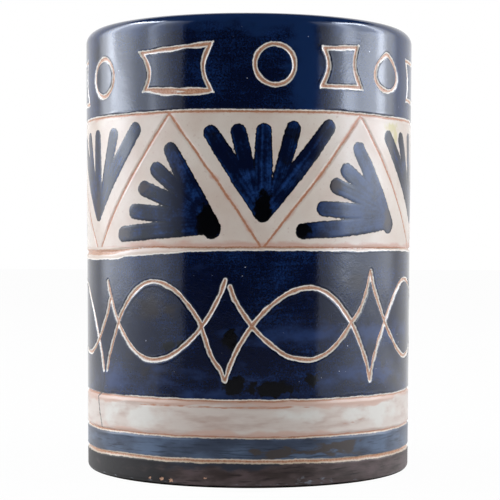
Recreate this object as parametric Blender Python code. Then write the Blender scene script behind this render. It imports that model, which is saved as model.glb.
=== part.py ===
"""Sgraffito pottery vase: a slab-built clay cylinder on a luted base disc, and the coats fired onto it.

Metres, +Z up. The origin is the centre of the flat underside, and the decorated front faces -Y.

The clay wall, the base disc and the inside glaze are turned profiles. Every coat on the outside is drawn
flat on the unrolled wall, as (distance round the vase, distance up its face), then cut into columns,
thickened and wrapped round the vase. The scratched lines are the gaps that are left between the coats,
where the clay wall shows.
"""

import math

import bmesh
import bpy
import numpy as np

# All lengths below are in millimetres, and mesh_object turns them to metres. Angles are in degrees,
# counted from the front (-Y) towards the right (+X).
MM = 0.001

# Driving dimensions of the pot.
HEIGHT = 167.0
RADIUS = 62.5  # outside, at mid height
TAPER = 0.0075  # radius gained for each millimetre of height
WALL = 7.5  # clay and both its glazes
LIP_OUTER = 4.75  # rounding of the lip, outside and inside
LIP_INNER = WALL - LIP_OUTER
FOOT_ROUND = 2.1
BASE_THICK = 8.0
BASE_FLANGE = 4.0  # the wall stands on this flange, round the raised middle of the base disc
BASE_CHAMFER = (1.0, 2.4)  # in from the side, up from the table
INSIDE_ROUND = 3.0

# Coats, as depths under the outside face of the glaze.
JOINT_GAP = 0.3
GLAZE = 0.8
CLAY_DEPTH = GLAZE + JOINT_GAP
SLIP_FACE = 0.4  # the white slip is thinner, and the brush strokes lie on it
STROKE_GAP = 0.25
STROKE_PROUD = 0.15

# The turned pieces and the wrapped coats share the same facets.
COLUMN = 9.0
TURN_STEPS = round(360 / COLUMN)
ARC = math.radians(1) * RADIUS  # millimetres round the vase for each degree

# Scratched lines, by the height of their middle.
LINE = 1.6
RIM_LINE = 132.6
FAN_LINE = 84.7
WAVE_LINE = 31.0
STRIPE_LINE = 18.1
FOOT_LINE = 9.7
FOOT_EDGE = 0.8  # where the foot band stops, short of the table

# Rim band: (angle, height) of each circle, (angle, half width in degrees, foot, top) of each panel.
CIRCLE_WIDE, CIRCLE_TALL = 7.2, 7.4
CIRCLE_POINTS = 16
CIRCLES = (
    (-154.0, 148.0),
    (-108.0, 148.0),
    (-57.0, 147.2),
    (8.5, 148.8),
    (53.3, 148.6),
    (104.0, 148.0),
    (155.0, 148.0),
)
PANEL_BOW = 2.8
PANEL_POINTS = 7
PANELS = (
    (-174.0, 7.5, 140.5, 155.0),
    (-131.0, 9.0, 140.5, 155.0),
    (-85.0, 10.5, 139.0, 154.5),
    (-24.2, 13.2, 139.8, 155.4),
    (32.0, 7.4, 142.0, 156.0),
    (80.0, 9.0, 140.5, 154.8),
    (130.0, 9.0, 140.5, 155.0),
)

# Fan band: the zigzag meets the lower line at the valleys, and the upper line at the peaks between them.
VALLEYS = (-62.4, 4.3, 74.8, 149.1, 223.4)
PEAKS = (-26.6, 39.9, 112.0, 186.2, 260.5)
# Brush strokes from the root of a fan to their tips (across, up), in order from right to left.
UPRIGHT_ROOT = (0.4, 94.0)  # degrees from the valley, height
UPRIGHT_TIPS = ((25.9, 36.1), (11.5, 35.7), (0.0, 34.7), (-9.4, 34.5), (-19.4, 33.7))
SIDEWAYS_ROOT = (16.5, 90.4)  # degrees from the peak, height
SIDEWAYS_TIPS = ((-19.4, 31.8), (-25.9, 24.0), (-31.4, 17.3), (-36.7, 8.0), (-43.7, -0.4))
STROKE_WIDTH = 6.2
STROKE_SIDE = ((0.60, 0.42), (0.87, 0.50), (0.96, 0.34))  # shares of the length and of the width
STROKE_FORK = 0.24  # share of the length where neighbouring strokes part
ROOT_ROUND = 2.6

# Wave band: two crossing lines, with cusps at these angles and round bows halfway between them.
CUSPS = (-57.0, -7.5, 45.2, 96.8, 148.3, 199.9, 251.4)
UPPER_CUSP, LOWER_BOW = 74.0, 44.5
LOWER_CUSP, UPPER_BOW = 37.5, 72.0
WAVE_POWER = 0.74
DIAMOND_STEPS = 6
OVAL_STEPS = 10
BACK_CUSP = 5  # the first cusp past the seam
SEAM = (CUSPS[BACK_CUSP - 1] + CUSPS[BACK_CUSP]) / 2  # where a ring closes: at the back, on a bow

LEFT_END = (SEAM - 360) * ARC
RIGHT_END = SEAM * ARC


# Finishes.

def finish(name, colour, roughness):
    """A Principled material of one colour, given as sRGB red, green and blue from 0 to 255."""
    material = bpy.data.materials.new(name)
    material.use_nodes = True
    shader = material.node_tree.nodes["Principled BSDF"]
    linear = [((part / 255 + 0.055) / 1.055) ** 2.4 for part in colour]
    shader.inputs["Base Color"].default_value = (*linear, 1.0)
    shader.inputs["Roughness"].default_value = roughness
    shader.inputs["Metallic"].default_value = 0.0
    return material


# Meshes.

def mesh_object(name, mesh, material):
    """Makes a named object from a bmesh in millimetres, shaded smooth apart from its sharp edges."""
    bmesh.ops.recalc_face_normals(mesh, faces=mesh.faces)
    bmesh.ops.scale(mesh, vec=(MM, MM, MM), verts=mesh.verts)
    data = bpy.data.meshes.new(name)
    mesh.to_mesh(data)
    mesh.free()
    data.shade_smooth()
    data.set_sharp_from_angle(angle=math.radians(40))
    data.materials.append(material)
    made = bpy.data.objects.new(name, data)
    bpy.context.scene.collection.objects.link(made)
    return made


def add_outline(mesh, points):
    """Adds a closed outline, and returns its points and edges."""
    verts = [mesh.verts.new(point) for point in points]
    return verts, [mesh.edges.new(pair) for pair in zip(verts, verts[1:] + verts[:1])]


def turned(name, profile, material):
    """Spins a closed outline of (radius, height) points about the Z axis."""
    mesh = bmesh.new()
    verts, edges = add_outline(mesh, [(0, -radius, height) for radius, height in profile])
    bmesh.ops.spin(
        mesh,
        geom=verts + edges,
        axis=(0, 0, 1),
        cent=(0, 0, 0),
        angle=math.tau,
        steps=TURN_STEPS,
        use_merge=True,
    )
    bmesh.ops.remove_doubles(mesh, verts=mesh.verts, dist=0.001)
    return mesh_object(name, mesh, material)


# The outside face of the vase, from the foot over the lip.

LIP_START = HEIGHT - LIP_OUTER
LIP_CREST = LIP_START + LIP_OUTER * math.pi / 2
LIP_END = LIP_CREST + LIP_INNER * math.pi / 2
LIP_ROWS = [*np.linspace(LIP_START, LIP_CREST, 4), (LIP_CREST + LIP_END) / 2, LIP_END]


def leaned(radius, height):
    """A point of an upright profile, moved out or in by the taper of the wall."""
    return radius + TAPER * (height - HEIGHT / 2), height


def face_point(along, depth):
    """(radius, height) at a distance up the outside face, sunk under it by depth."""
    if along > LIP_CREST:
        turn = (along - LIP_CREST) / LIP_INNER
        reach = LIP_INNER - depth
        radius = RADIUS - LIP_OUTER - reach * math.sin(turn)
        return leaned(radius, HEIGHT - LIP_INNER + reach * math.cos(turn))
    if along > LIP_START:
        turn = (along - LIP_START) / LIP_OUTER
        reach = LIP_OUTER - depth
        radius = RADIUS - LIP_OUTER + reach * math.cos(turn)
        return leaned(radius, LIP_START + reach * math.sin(turn))
    if along < FOOT_ROUND:
        turn = 1 - along / FOOT_ROUND
        reach = FOOT_ROUND - depth
        radius = RADIUS - FOOT_ROUND + reach * math.cos(turn)
        return leaned(radius, FOOT_ROUND - reach * math.sin(turn))
    return leaned(RADIUS - depth, along)


def wrapped(across, along, depth):
    """The place on the vase of a point that was drawn flat."""
    turn = across / RADIUS
    radius, height = face_point(along, depth)
    return radius * math.sin(turn), -radius * math.cos(turn), height


def cut(mesh, place, direction):
    everything = mesh.verts[:] + mesh.edges[:] + mesh.faces[:]
    bmesh.ops.bisect_plane(mesh, geom=everything, dist=0.02, plane_co=place, plane_no=direction)


def filled(sheets):
    """Flat sheets side by side, each from an outline round it and any outlines of holes in it."""
    mesh = bmesh.new()
    for outlines in sheets:
        edges = []
        for outline in outlines:
            edges += add_outline(mesh, [(across, along, 0) for across, along in outline])[1]
        bmesh.ops.triangle_fill(mesh, use_beauty=True, edges=edges, normal=(0, 0, 1))
    bmesh.ops.remove_doubles(mesh, verts=mesh.verts, dist=0.001)
    return mesh


def coat(name, sheets, top, bottom, material):
    """A coat drawn as flat sheets and wrapped on the vase.

    The sheets are cut into columns, and into rows where the face curves. They are given a thickness
    between two depths, and closed at the back where they go all the way round.
    """
    mesh = filled(sheets)
    drawn = np.concatenate([outlines[0] for outlines in sheets])
    left, low = drawn.min(axis=0)
    right, high = drawn.max(axis=0)
    column = COLUMN * ARC
    for step in range(math.ceil(left / column), math.floor(right / column) + 1):
        cut(mesh, (step * column, 0, 0), (1, 0, 0))
    for row in (FOOT_ROUND, *LIP_ROWS):
        if low < row < high:
            cut(mesh, (0, row, 0), (0, 1, 0))

    raised = bmesh.ops.extrude_face_region(mesh, geom=mesh.faces[:], use_keep_orig=True)
    for item in raised["geom"]:
        if isinstance(item, bmesh.types.BMVert):
            item.co.z = 1.0
    goes_round = right - left > 359 * ARC
    if goes_round:
        ends = [
            face
            for face in mesh.faces
            if all(vert.co.x - left < 0.01 for vert in face.verts)
            or all(right - vert.co.x < 0.01 for vert in face.verts)
        ]
        bmesh.ops.delete(mesh, geom=ends, context="FACES")
    for vert in mesh.verts:
        depth = bottom + vert.co.z * (top - bottom)
        vert.co = wrapped(vert.co.x, vert.co.y, depth)
    if goes_round:
        bmesh.ops.remove_doubles(mesh, verts=mesh.verts, dist=0.01)
    return mesh_object(name, mesh, material)


# Outlines, drawn flat, counter-clockwise as seen from outside the vase.

def shifted(points, distance, period=0.0):
    """Moves an outline to its left with mitred corners, which is inwards where it is closed.

    A line that runs round the vase and meets itself again has the way round as its period.
    """
    after = np.roll(points, -1, axis=0)
    after[-1, 0] += period
    ahead = after - points
    ahead /= np.linalg.norm(ahead, axis=1, keepdims=True)
    normal = np.stack([-ahead[:, 1], ahead[:, 0]], axis=1)
    before = np.roll(normal, 1, axis=0)
    mitre = (normal + before) / (1 + np.sum(normal * before, axis=1, keepdims=True))
    return points + distance * mitre


def level(height):
    """A level line right round the vase, with a point at each column."""
    columns = np.arange(math.ceil((SEAM - 360) / COLUMN), math.ceil(SEAM / COLUMN)) * COLUMN * ARC
    across = np.array([LEFT_END, *columns, RIGHT_END])
    return np.stack([across, np.full(len(across), height)], axis=1)


def between(lower, upper):
    """The outline between two lines that both run from left to right."""
    return np.concatenate([lower, upper[::-1]])


def circle(angle, height):
    turn = np.arange(CIRCLE_POINTS) * math.tau / CIRCLE_POINTS
    across = angle * ARC + CIRCLE_WIDE * np.cos(turn)
    return np.stack([across, height + CIRCLE_TALL * np.sin(turn)], axis=1)


def panel(angle, half_width, low, high):
    """A rectangle whose upright sides bow inwards."""
    share = np.linspace(0, 1, PANEL_POINTS)
    side = half_width * ARC - PANEL_BOW * np.sin(np.pi * share)
    height = low + (high - low) * share
    right = np.stack([angle * ARC + side, height], axis=1)
    left = np.stack([angle * ARC - side, height], axis=1)
    return np.concatenate([right, left[::-1]])


def triangle(*corners):
    """A triangle from three (angle, height) corners on the scratched lines."""
    return np.array([(angle * ARC, height) for angle, height in corners])


def fan(angle, height, tips):
    """Brush strokes that widen from a common root and end round, joined for the first part of their way."""
    root = np.array([angle * ARC, height])
    tips = np.array(tips)
    middle = tips.sum(axis=0) / np.linalg.norm(tips.sum(axis=0))
    outline = [root + ROOT_ROUND * np.array([middle[1], -middle[0]])]
    for index, tip in enumerate(tips):
        ahead = tip / np.linalg.norm(tip)
        aside = STROKE_WIDTH * np.array([-ahead[1], ahead[0]])
        outline += [root + tip * length - aside * width for length, width in STROKE_SIDE]
        outline += [root + tip]
        outline += [root + tip * length + aside * width for length, width in STROKE_SIDE[::-1]]
        if index + 1 < len(tips):
            outline += [root + STROKE_FORK * (tip + tips[index + 1]) / 2]
    outline += [root + ROOT_ROUND * np.array([-middle[1], middle[0]]), root - ROOT_ROUND * middle]
    return np.array(outline)


# The two interlaced lines of the wave band.

MARKS = np.add.outer((-360, 0, 360), CUSPS).ravel()
FIRST = len(CUSPS)  # the place of the first cusp among the marks
CROSSING_SWING = (UPPER_CUSP - LOWER_CUSP) / (UPPER_CUSP - LOWER_BOW + UPPER_BOW - LOWER_CUSP)
CROSSING = math.asin(CROSSING_SWING ** (1 / WAVE_POWER)) / math.pi  # share of the way from cusp to cusp


def wave(phase, cusp, bow):
    """One of the two lines: |sin| raised to a power, pointed at whole phases and round between them."""
    across = np.interp(phase, np.arange(len(MARKS)), MARKS) * ARC
    swing = np.abs(np.sin(np.pi * phase)) ** WAVE_POWER
    return np.stack([across, cusp + (bow - cusp) * swing], axis=1)


def cusp_up(phase):
    return wave(phase, UPPER_CUSP, LOWER_BOW)


def cusp_down(phase):
    return wave(phase, LOWER_CUSP, UPPER_BOW)


def eye(phase, lower, upper):
    """The outline between two crossings of the lines."""
    return between(lower(phase), upper(phase[1:-1]))


def wave_edge(upper):
    """The upper or lower edge of the interlace, once round the vase from the seam."""
    half = OVAL_STEPS // 2
    bow_in = np.linspace(-0.5, -CROSSING, half, endpoint=False)
    point = np.linspace(-CROSSING, CROSSING, DIAMOND_STEPS, endpoint=False)
    bow_out = np.linspace(CROSSING, 0.5, half, endpoint=False)
    turn = np.concatenate([bow_in, point, bow_out])
    phase = np.add.outer(BACK_CUSP + np.arange(len(CUSPS)), turn).ravel()
    up, down = cusp_up(phase), cusp_down(phase)
    chosen = np.maximum(up, down) if upper else np.minimum(up, down)
    side = LINE / 2 if upper else -LINE / 2
    edge = shifted(chosen, side, 360 * ARC)
    return np.concatenate([edge, edge[:1] + (360 * ARC, 0)])


# The pieces.

def clay_pieces(clay, liner):
    """The wall on its base disc, in a rebate that is luted with slip, and the glaze that lines them."""
    inside = RADIUS - WALL
    bare_inside = inside + CLAY_DEPTH
    plug = bare_inside - JOINT_GAP
    bare_outside = RADIUS - CLAY_DEPTH

    outer_face = [BASE_FLANGE + JOINT_GAP, *LIP_ROWS]
    wall = [face_point(along, CLAY_DEPTH) for along in outer_face]
    wall += [leaned(bare_inside, BASE_FLANGE + JOINT_GAP)]

    base = [(0, 0), leaned(bare_outside - BASE_CHAMFER[0], 0), leaned(bare_outside, BASE_CHAMFER[1])]
    base += [leaned(bare_outside, BASE_FLANGE), leaned(plug, BASE_FLANGE)]
    base += [leaned(plug, BASE_THICK), (0, BASE_THICK)]

    top = HEIGHT - LIP_INNER - JOINT_GAP
    floor = BASE_THICK + JOINT_GAP
    corner = [math.pi / 2 * step / 3 for step in range(4)]
    lining = [(0, floor), leaned(inside + GLAZE, floor), leaned(inside + GLAZE, top), leaned(inside, top)]
    lining += [
        leaned(
            inside - INSIDE_ROUND + INSIDE_ROUND * math.cos(turn),
            floor + GLAZE + INSIDE_ROUND - INSIDE_ROUND * math.sin(turn),
        )
        for turn in corner
    ]
    lining += [(0, floor + GLAZE)]
    return [
        turned("clay_wall", wall, clay),
        turned("clay_base_disc", base, clay),
        turned("inside_glaze", lining, liner),
    ]


def rim_band(cobalt):
    """The blue coat over the lip, with its circles and panels standing inside scratched outlines."""
    circles = [circle(*place) for place in CIRCLES]
    panels = [panel(*place) for place in PANELS]
    field = between(level(RIM_LINE + LINE / 2), level(LIP_START))
    windows = [shifted(motif, -LINE / 2)[::-1] for motif in circles + panels]
    lip = between(level(LIP_START), level(LIP_END))
    made = [coat("rim_glaze", [[field, *windows], [lip]], 0, GLAZE, cobalt)]
    for kind, motifs in (("circle", circles), ("panel", panels)):
        for number, motif in enumerate(motifs, 1):
            island = shifted(motif, LINE / 2)
            made.append(coat(f"rim_{kind}_{number}", [[island]], 0, GLAZE, cobalt))
    return made


def fan_band(slip, stroke):
    """White triangles between the zigzag lines, with a brushed fan on each."""
    made = []
    next_valleys = (*VALLEYS[1:], VALLEYS[0] + 360)
    last_peaks = (PEAKS[-1] - 360, *PEAKS[:-1])
    for number, valley in enumerate(VALLEYS, 1):
        peak, last_peak = PEAKS[number - 1], last_peaks[number - 1]
        hanging = triangle((valley, FAN_LINE), (peak, RIM_LINE), (last_peak, RIM_LINE))
        standing = triangle((valley, FAN_LINE), (next_valleys[number - 1], FAN_LINE), (peak, RIM_LINE))
        upright = fan(valley + UPRIGHT_ROOT[0], UPRIGHT_ROOT[1], UPRIGHT_TIPS)
        sideways = fan(peak + SIDEWAYS_ROOT[0], SIDEWAYS_ROOT[1], SIDEWAYS_TIPS)
        for side, tile, strokes in (("hanging", hanging, upright), ("standing", standing, sideways)):
            slip_outline = shifted(tile, LINE / 2)
            made.append(coat(f"slip_triangle_{side}_{number}", [[slip_outline]], SLIP_FACE, GLAZE, slip))
            under = SLIP_FACE - STROKE_GAP
            made.append(coat(f"brush_fan_{side}_{number}", [[strokes]], -STROKE_PROUD, under, stroke))
    return made


def wave_band(cobalt):
    """The blue coat that two interlaced lines part into an upper and a lower field, diamonds and ovals."""
    upper = between(wave_edge(True), level(FAN_LINE - LINE / 2))
    lower = between(level(WAVE_LINE + LINE / 2), wave_edge(False))
    made = [
        coat("wave_field_upper", [[upper]], 0, GLAZE, cobalt),
        coat("wave_field_lower", [[lower]], 0, GLAZE, cobalt),
    ]
    across_diamond = np.linspace(-CROSSING, CROSSING, DIAMOND_STEPS + 1)
    across_oval = np.linspace(CROSSING, 1 - CROSSING, OVAL_STEPS + 1)
    for number in range(len(CUSPS)):
        diamond = eye(FIRST + number + across_diamond, cusp_down, cusp_up)
        oval = eye(FIRST + number + across_oval, cusp_up, cusp_down)
        for kind, outline in (("diamond", diamond), ("oval", oval)):
            island = shifted(outline, LINE / 2)
            made.append(coat(f"wave_{kind}_{number + 1}", [[island]], 0, GLAZE, cobalt))
    return made


def foot_bands(slip, cobalt, iron):
    """The white band, the blue stripe and the dark foot, one above the other."""
    white = between(level(STRIPE_LINE + LINE / 2), level(WAVE_LINE - LINE / 2))
    stripe = between(level(FOOT_LINE + LINE / 2), level(STRIPE_LINE - LINE / 2))
    foot = between(level(FOOT_EDGE), level(FOOT_LINE - LINE / 2))
    return [
        coat("slip_band_lower", [[white]], SLIP_FACE, GLAZE, slip),
        coat("foot_stripe", [[stripe]], 0, GLAZE, cobalt),
        coat("foot_band", [[foot]], 0, GLAZE, iron),
    ]


def main():
    for old in list(bpy.data.objects):
        bpy.data.objects.remove(old)

    clay = finish("fired_buff_clay", (190, 150, 124), 0.8)
    liner = finish("clear_glaze_on_clay", (206, 190, 172), 0.3)
    slip = finish("glazed_white_slip", (226, 216, 206), 0.3)
    cobalt = finish("cobalt_glaze", (14, 24, 70), 0.15)
    stroke = finish("cobalt_brushwork", (26, 34, 78), 0.25)
    iron = finish("dark_foot_glaze", (48, 40, 40), 0.45)

    pieces = clay_pieces(clay, liner)
    pieces += rim_band(cobalt)
    pieces += fan_band(slip, stroke)
    pieces += wave_band(cobalt)
    pieces += foot_bands(slip, cobalt, iron)

    vase = bpy.data.objects.new("vase", None)
    bpy.context.scene.collection.objects.link(vase)
    for piece in pieces:
        piece.parent = vase


main()
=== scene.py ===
"""Looks of the scratched pottery vase: its glazed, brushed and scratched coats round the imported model.

Every coat is a ring on the outside face of the vase. A point of a ring is a distance round the wall and a
distance up its face, both in millimetres, and scratched lines and brush strokes are distances on that
unrolled wall. The distances sink the lines and raise the strokes in the mesh, and the same distances are
kept as attributes, from which the materials read where coat, slip and bare clay show.
"""

import math
from typing import NamedTuple

import bmesh
import bpy
import numpy as np
from bpy.props import FloatProperty, FloatVectorProperty, IntProperty, PointerProperty
from mathutils import Euler, Matrix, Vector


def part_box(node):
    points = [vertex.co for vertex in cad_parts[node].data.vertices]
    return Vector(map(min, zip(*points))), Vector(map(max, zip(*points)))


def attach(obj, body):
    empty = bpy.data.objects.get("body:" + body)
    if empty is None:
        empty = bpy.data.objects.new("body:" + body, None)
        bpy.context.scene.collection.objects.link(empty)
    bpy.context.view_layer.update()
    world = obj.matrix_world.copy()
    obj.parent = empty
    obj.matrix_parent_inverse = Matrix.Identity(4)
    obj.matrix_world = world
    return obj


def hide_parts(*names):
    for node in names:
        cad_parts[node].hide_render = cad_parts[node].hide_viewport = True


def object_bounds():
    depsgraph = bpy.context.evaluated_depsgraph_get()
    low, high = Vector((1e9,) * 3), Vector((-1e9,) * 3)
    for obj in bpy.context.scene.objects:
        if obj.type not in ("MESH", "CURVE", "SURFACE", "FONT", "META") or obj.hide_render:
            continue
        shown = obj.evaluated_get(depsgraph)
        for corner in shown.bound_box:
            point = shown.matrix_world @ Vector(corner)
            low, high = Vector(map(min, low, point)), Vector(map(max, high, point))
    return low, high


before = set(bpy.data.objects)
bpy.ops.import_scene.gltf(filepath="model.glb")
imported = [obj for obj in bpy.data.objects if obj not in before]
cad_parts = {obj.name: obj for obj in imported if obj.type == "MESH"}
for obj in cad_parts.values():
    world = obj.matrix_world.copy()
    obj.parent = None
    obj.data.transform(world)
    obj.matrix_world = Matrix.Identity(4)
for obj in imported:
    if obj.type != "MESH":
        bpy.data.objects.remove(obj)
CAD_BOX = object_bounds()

bl_info = {
    "name": "Scratched pottery vase",
    "version": (1, 0, 0),
    "blender": (4, 5, 0),
    "location": "View3D > Sidebar > Vase",
    "description": "Glazed coats, brush fans and scratched lines round a packed pottery vase",
    "category": "Object",
}

MM = 0.001


def linear(code):
    """An sRGB hex colour as linear red, green, blue and alpha."""
    parts = [int(code[place : place + 2], 16) / 255 for place in (1, 3, 5)]
    return (*(part / 12.92 if part <= 0.04045 else ((part + 0.055) / 1.055) ** 2.4 for part in parts), 1.0)


def gap_height(lower, upper, drop):
    """Height of the line scratched between two coats of the frame, a drop under the middle of their gap."""
    return (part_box(lower)[1].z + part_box(upper)[0].z) / 2 / MM - drop


# The pot, in millimetres. The box and the lines come from the frame, the rest is as in the part's source.
HEIGHT = CAD_BOX[1][2] / MM
TAPER = 0.0075
LIP_OUTER, LIP_INNER = 4.75, 2.75
FOOT_ROUND = 2.1
FOOT_GLAZED = 0.92  # share of the foot's rounding that has a coat
LIP_START = HEIGHT - LIP_OUTER
LIP_CREST = LIP_START + LIP_OUTER * math.pi / 2
LIP_END = LIP_CREST + LIP_INNER * math.pi / 2
FOOT_END = FOOT_ROUND * (1 - FOOT_GLAZED * math.pi / 2)
RADIUS = CAD_BOX[1][0] / MM - TAPER * (LIP_START - HEIGHT / 2)
INSIDE = RADIUS - (LIP_OUTER + LIP_INNER)
AROUND = math.tau * RADIUS
ARC = AROUND / 360  # millimetres round the wall for each degree

RIM_LINE = gap_height("slip_triangle_hanging_1", "rim_glaze", 0.55)
FAN_LINE = gap_height("wave_field_upper", "slip_triangle_hanging_1", 0.5)
WAVE_LINE = gap_height("slip_band_lower", "wave_field_lower", 0.4)
STRIPE_LINE = gap_height("foot_stripe", "slip_band_lower", 0.2)
FOOT_LINE = gap_height("foot_band", "foot_stripe", 0.2)

BACK_DEPTH = 0.95  # the plain back of a coat, just clear of the clay wall
BACK_ROWS = 5  # of the back's grid where the wall is straight
BACK_BEND = 9  # degrees of bend that get one more row
SKIN_SINK = 0.08  # keeps raised edges inside the face of the frame
EDGE_GAP = 0.01  # between one coat and the next, in the bed of a line
FACE_CORNERS = np.array([[0, 0, 1, 1], [0, 1, 1, 0]])[:, None, None]  # rows and columns on from the first
BAKE_MARGIN = 0.01  # share of a strip of the UV map that is kept clear along its edges
SHARP, TURNED_SHARP = 65, 50  # degrees from which edges of coats and of turned pieces are sharp
MERGED = 1e-7  # metres within which points on the axis become one
RING_DEPTH = 0.05  # of the rings that turning leaves in clay
FAR = 50.0  # a distance that stands for nowhere near

# Scratched lines. Half widths of bare clay and of slip are given for the lines between coats.
BED_SHARE = 0.48  # of a line's width that is bare clay
# The bed is drawn this far high so that the slip strip under each line is wider: painted light on the
# groove's lower wall.
PAINTED_LIGHT_SHIFT = 0.1  # of that clay over the middle of the line
BED_END, SIDE_END = 0.3, 1.15  # shares of half a line's width where its flat bed and its sides end
BURR, BURR_WIDTH, BURR_PLACE = 0.05, 0.35, 1.25  # what the stylus throws up, and at which such share
UNEVEN, UNEVEN_LENGTH = 0.1, 8  # by which share, and over what length, a line's width changes
WAVERS = ((34, 3, 0.12, -0.09), (9, 4, 0.05, 0.05))  # wavelength, seed, and how far lines move across and up
# How many waves an uneven field has, and the range of their lengths, as shares of its wavelength.
WANDER_WAVES, WANDER_LENGTHS = 6, (0.7, 1.5)
# What is drawn low on the left sags: fully up to one height, and not at all from the other. The angles are
# those of a sector.
LEFT_SAG, SAG_ANGLES, SAG_FULL, SAG_TOP = 0.6, (-150, -90, -66, -42), 60, 100
FAN_SAG, FAN_SAG_ANGLES = 1.6, (-130, -90, -54, -32)  # of the line under the fans
FOOT_DROP, FOOT_DROP_ANGLES = 0.6, (18, 32, 100, 140)  # of the line over the foot
RIM_BED, RIM_SLIP = 0.4, 0.75
FAN_BED = 0.26
WAVE_BED, WAVE_SLIP = 0.2, 0.6
STRIPE_BED, STRIPE_SLIP = 0.1, 0.5
FOOT_BED, FOOT_SLIP = 0.36, 0.8
ZIGZAG_HALF, FOOT_HALF = 0.8, 0.95  # half widths of grooves
ZIGZAG_SHALLOW = 0.45  # share of a line's depth that the lines between triangles have
STROKE_POINTS, CIRCLE_POINTS = 13, 49  # of a line from corner to corner, and of a circle

# Rim band. Circles: angle, height, half width, half height, how far the top is drawn to a point.
CIRCLES = (
    (-154, 147.6, 7.2, 7.2, 0),
    (-108, 147.6, 7.2, 7.2, 0),
    (-58.4, 146.7, 7.2, 6.9, 0),
    (8.5, 148.4, 7.1, 7.1, 0),
    (53.5, 147.8, 7.4, 6.1, 0.8),
    (104, 147.6, 7.2, 7.2, 0.3),
    (155, 147.6, 7.2, 7.2, 0),
)
POINT_POWER = 12
POINTED, NARROWING = 0.5, 0.12  # a circle with more of a point gets narrower upwards, by this share
# Panels: (angle, height) of the corners from top left, clockwise, then how far the upright sides bow in.
PANELS = (
    ((-181.5, 154.5), (-166.5, 154.5), (-166.5, 140), (-181.5, 140), 2.6),
    ((-140, 154.5), (-122, 154.5), (-122, 140), (-140, 140), 2.6),
    ((-95.5, 153.5), (-75.5, 154.4), (-72.8, 138.1), (-95, 138.7), 2.6),
    ((-37.6, 153.5), (-12.4, 155.7), (-12.2, 139.3), (-36.1, 140.3), 2.8),
    ((25.2, 154.8), (37.9, 155.9), (39.8, 141.6), (24.6, 141.3), 2.1),
    ((69.2, 154.5), (89, 154.5), (88.5, 140), (70.6, 139.8), 2.4),
    ((121, 154.5), (139, 154.5), (139, 140), (121, 140), 2.6),
)
SPUR, SPUR_HALF = 1.2, 0.35  # length and half width of the slip that shows past the corners of a panel
SECOND_STROKE = ((-33.5, 139.9), (-29, 139.1), (-22.5, 138.5), (-16, 138.7), (-12.9, 139.1))
THIN_START = LIP_START - 1  # the rim's coat is thin from here up
# Where else it is thin: angle, height, half width, half height, as in all tables of spots below.
THIN_PLACES = (
    (19, 150, 6, 30), (70, 150, 14, 30), (-72, 150, 8, 30),
    (-100, 150, 8, 24), (131, 148, 7, 26),
)

# Fan band: zigzag strokes run from beside a valley on the lower line to a peak on the upper one. A valley is
# the angles at which the strokes on its left and right set off, and how far the one on the left bows.
VALLEYS = ((-64.2, -60.5, 0), (3.9, 5.3, 0.8), (74.8, 76.4, 0), (148.3, 149.9, 0.4), (222.6, 224.2, 0.4))
PEAKS = (-26.5, 39.7, 112, 186.2, 260.5)
ZIGZAG_RISE, ZIGZAG_DROP = 0.4, 0.5  # of the strokes' ends, over the lower line and under the upper one


def turned(fan, angle):
    """A fan moved round the wall by an angle."""
    return tuple((aside + angle, height) for aside, height in fan)


# Fans: (angle, height) of the foot of the root, then of the tips of the strokes from right to left. Those at
# the back are like those in front.
UPRIGHT_FAN = ((0.5, 93.3), (24.4, 129), (11, 128.6), (0.5, 127.8), (-8.1, 127.6), (-17.5, 126.8))
SIDEWAYS_FAN = ((14.9, 88.4), (-1.2, 121.5), (-7.4, 113.6), (-12.4, 106.9), (-17.1, 97.9), (-23.4, 89.4))
UPRIGHT_FANS = (
    ((-62.8, 94), (-38.9, 128.8), (-50.9, 127.9), (-63.1, 127.8), (-73.1, 127.4), (-83, 126.8)),
    ((4.7, 93.1), (28.7, 129.1), (15.2, 128.8), (4.8, 127.9), (-3.9, 127.7), (-13.5, 126.8)),
    ((78, 94), (101, 129.3), (87.5, 128.6), (73.8, 127.7), (63.4, 127.3), (52.7, 126.9)),
    turned(UPRIGHT_FAN, 149.1),
    turned(UPRIGHT_FAN, 223.4),
)
SIDEWAYS_FANS = (
    ((-12.1, 87.4), (-27.2, 121.2), (-33.5, 113.8), (-39, 106.4), (-43.5, 97.4), (-49.1, 88.9)),
    ((55, 89.4), (37.9, 121.9), (31.8, 113.3), (27.4, 107.3), (22.5, 98.4), (15.5, 89.8)),
    *(turned(SIDEWAYS_FAN, peak) for peak in PEAKS[2:]),
)
# Where a stroke sets off: a share of the way from the root to the tip of another stroke, which one, and the
# half width of the stroke there.
UPRIGHT_TAILS = ((0, 0, 3.1), (0.14, 0, 2), (0, 2, 3.1), (0.14, 4, 2), (0, 4, 3.1))
SIDEWAYS_TAILS = ((0, 0, 3.6), (0.23, 0, 2), (0.17, 0, 2), (0.13, 0, 2.3), (0.03, 0, 2.9))
STROKE_TIP = 2.85  # half width at the tip
STROKE_BELLY = 0.3  # by which a brush stroke is wider in its middle
STROKE_EDGE = (-0.2, 0.8)  # how far inside its outline a stroke starts to stand up and is at full height
TONES = 40  # range from which each stroke takes its own streaks
# On the fans: thick black glaze, glaze that burnt brown, and wash that is paler than elsewhere.
POOLS = (
    (4.7, 98.2, 3.1, 6.2), (-13, 92.8, 4.8, 6.2), (17.6, 90.3, 2.8, 2.9),
    (150, 98, 3.2, 6), (203, 94, 4.4, 5),
)
BURNT = (
    (-37.4, 105.8, 3.4, 2.6), (-47, 89.6, 4, 2.6), (-62.9, 99, 1.8, 6.5), (29, 106.6, 3.2, 2.6),
    (55, 94, 2.6, 5), (55.5, 119, 2.2, 7), (172, 107, 3.4, 2.6), (243, 98, 3.4, 2.6),
)
PALE = ((37, 103, 24, 22), (205, 102, 20, 18))
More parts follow.
